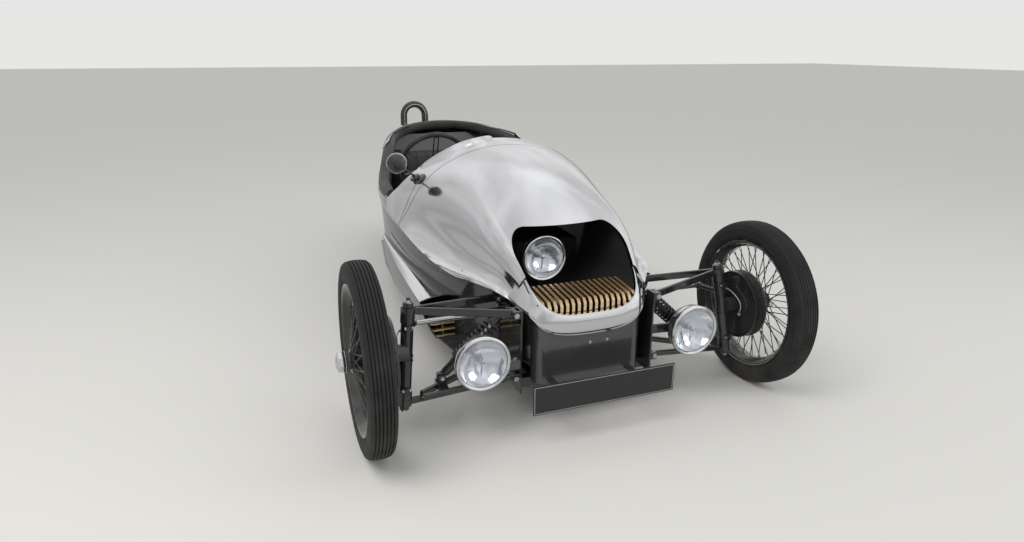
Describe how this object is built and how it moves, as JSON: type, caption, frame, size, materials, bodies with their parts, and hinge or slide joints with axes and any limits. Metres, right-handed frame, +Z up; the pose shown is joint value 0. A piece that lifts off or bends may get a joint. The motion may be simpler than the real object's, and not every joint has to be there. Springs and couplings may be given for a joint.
{
  "type": "three wheeled car",
  "caption": "Open two-seat car with two wire wheels in front, one behind in a boat tail, a rounded nose with a barred opening and lamps beside it.",
  "frame": {"origin": "centre of the bounding box at ground level", "axes": "+X to the car's left, -Y to its front, +Z up"},
  "size_m": [1.705, 3.349, 0.975],
  "materials": {
    "silver": "polished metallic silver",
    "gunmetal": "gloss dark grey",
    "black_paint": "gloss black",
    "black_plastic": "satin",
    "bars": "satin",
    "lamp_chrome": "polished",
    "lens_glass": "clear",
    "tyre_rubber": "ribbed",
    "wheel_black": "gloss black with a bright rim edge",
    "steel": "satin",
    "leather": "dark grained",
    "red_lens": "gloss",
    "cast": "cast"
  },
  "bodies": {
    "car": {"bonnet": "silver", "scuttle": "silver", "cockpit_surround": "silver", "tail_deck": "silver", "coaming": "leather", "tub": "gunmetal", "undertray_left": "gunmetal", "undertray_right": "gunmetal", "pod_left": "silver", "pod_right": "silver", "front_panel": "gunmetal", "nose_box": "black_plastic", "nose_bars": "bars", "lamp_left": "lamp_chrome", "lamp_right": "lamp_chrome", "lamp_centre": "lamp_chrome", "lens_left": "lens_glass", "lens_right": "lens_glass", "lens_centre": "lens_glass", "number_plate": "black_plastic", "chassis": "black_paint", "upper_wishbone_left": "black_paint", "upper_wishbone_right": "black_paint", "lower_wishbone_left": "black_paint", "lower_wishbone_right": "black_paint", "damper_left": "black_paint", "damper_right": "black_paint", "swing_arm": "black_paint", "motor": "cast", "battery": "black_plastic", "dash": "black_plastic", "seat_cushion": "leather", "seat_back": "leather", "roll_hoop": "black_paint", "mirror": "black_plastic", "tail_lamp_left": "red_lens", "tail_lamp_right": "red_lens"},
    "steer_left": {"knuckle_left": "black_paint"},
    "steer_right": {"knuckle_right": "black_paint"},
    "front_left": {"wheel_left": "wheel_black", "tyre_left": "tyre_rubber"},
    "front_right": {"wheel_right": "wheel_black", "tyre_right": "tyre_rubber"},
    "rear": {"rear_wheel": "wheel_black", "rear_tyre": "tyre_rubber"},
    "rack": {"track_rod": "steel"},
    "helm": {"steering_wheel": "black_plastic"}
  },
  "joints": [
    {"name": "steer_left", "type": "hinge", "parent": "car", "child": "steer_left", "pos_m": [0.641, -1.3675, 0.147], "axis": [-0.11, 0.1455, 0.9832], "range_deg": [-30, 30]},
    {"name": "steer_right", "type": "hinge", "parent": "car", "child": "steer_right", "pos_m": [-0.641, -1.3675, 0.147], "axis": [0.11, 0.1455, 0.9832], "range_deg": [-30, 30]},
    {"name": "front_left_spin", "type": "hinge", "parent": "steer_left", "child": "front_left", "pos_m": [0.7575, -1.3555, 0.319], "axis": [1, 0, 0], "continuous": true},
    {"name": "front_right_spin", "type": "hinge", "parent": "steer_right", "child": "front_right", "pos_m": [-0.7575, -1.3555, 0.319], "axis": [1, 0, 0], "continuous": true},
    {"name": "rear_spin", "type": "hinge", "parent": "car", "child": "rear", "pos_m": [0, 0.9845, 0.312], "axis": [1, 0, 0], "continuous": true},
    {"name": "rack_slide", "type": "slide", "parent": "car", "child": "rack", "axis": [1, 0, 0], "range_m": [-0.0456, 0.0456]},
    {"name": "helm_turn", "type": "hinge", "parent": "car", "child": "helm", "pos_m": [-0.24, -0.2855, 0.76], "axis": [0, 0.8829, 0.4695], "range_deg": [-211, 211]}
  ],
  "couplings": [
    {"joint": "steer_right", "follows": "steer_left", "ratio": 1},
    {"joint": "rack_slide", "follows": "steer_left", "m_per_rad": -0.0868},
    {"joint": "helm_turn", "follows": "steer_left", "ratio": 7}
  ]
}
